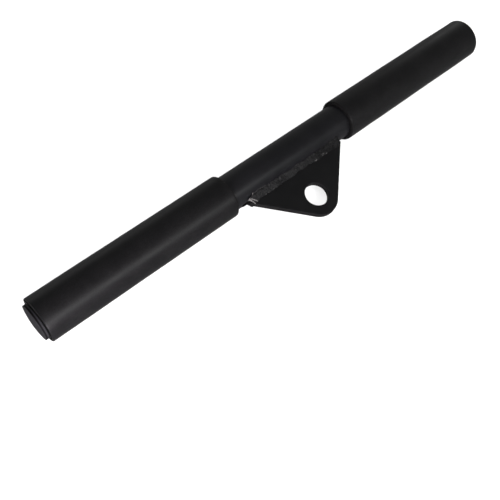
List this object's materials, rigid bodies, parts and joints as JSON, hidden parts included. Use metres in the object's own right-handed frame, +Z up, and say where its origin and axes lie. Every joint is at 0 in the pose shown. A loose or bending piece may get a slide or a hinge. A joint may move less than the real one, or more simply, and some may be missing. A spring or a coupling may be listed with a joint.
{
  "type": "pull up bar",
  "caption": "Short straight pull-up bar: steel tube with foam hand grips, plugged ends and a welded eye plate to hang it from a carabiner or shackle.",
  "frame": {"origin": "middle of the box that the bar fills as it lies on a floor, at floor level", "axes": "+X along the bar towards the right grip, +Y away from the eye plate, +Z up from the floor"},
  "size_m": [0.4454, 0.0726, 0.034],
  "materials": {
    "tube_paint": "satin black powder coat on drawn steel tube",
    "plate_paint": "matte black powder coat on flat steel",
    "weld_bead": "black paint over a rough bead, rubbed to bare steel on its high spots",
    "grip_foam": "matte closed-cell foam rubber with a fine skin",
    "cap_plastic": "moulded black plastic, satin"
  },
  "bodies": {
    "root": {"bar_tube": "tube_paint", "eye_plate": "plate_paint", "upper_weld": "weld_bead", "lower_weld": "weld_bead", "left_end_weld": "weld_bead", "right_end_weld": "weld_bead", "left_grip": "grip_foam", "right_grip": "grip_foam", "left_end_cap": "cap_plastic", "right_end_cap": "cap_plastic"}
  },
  "joints": []
}
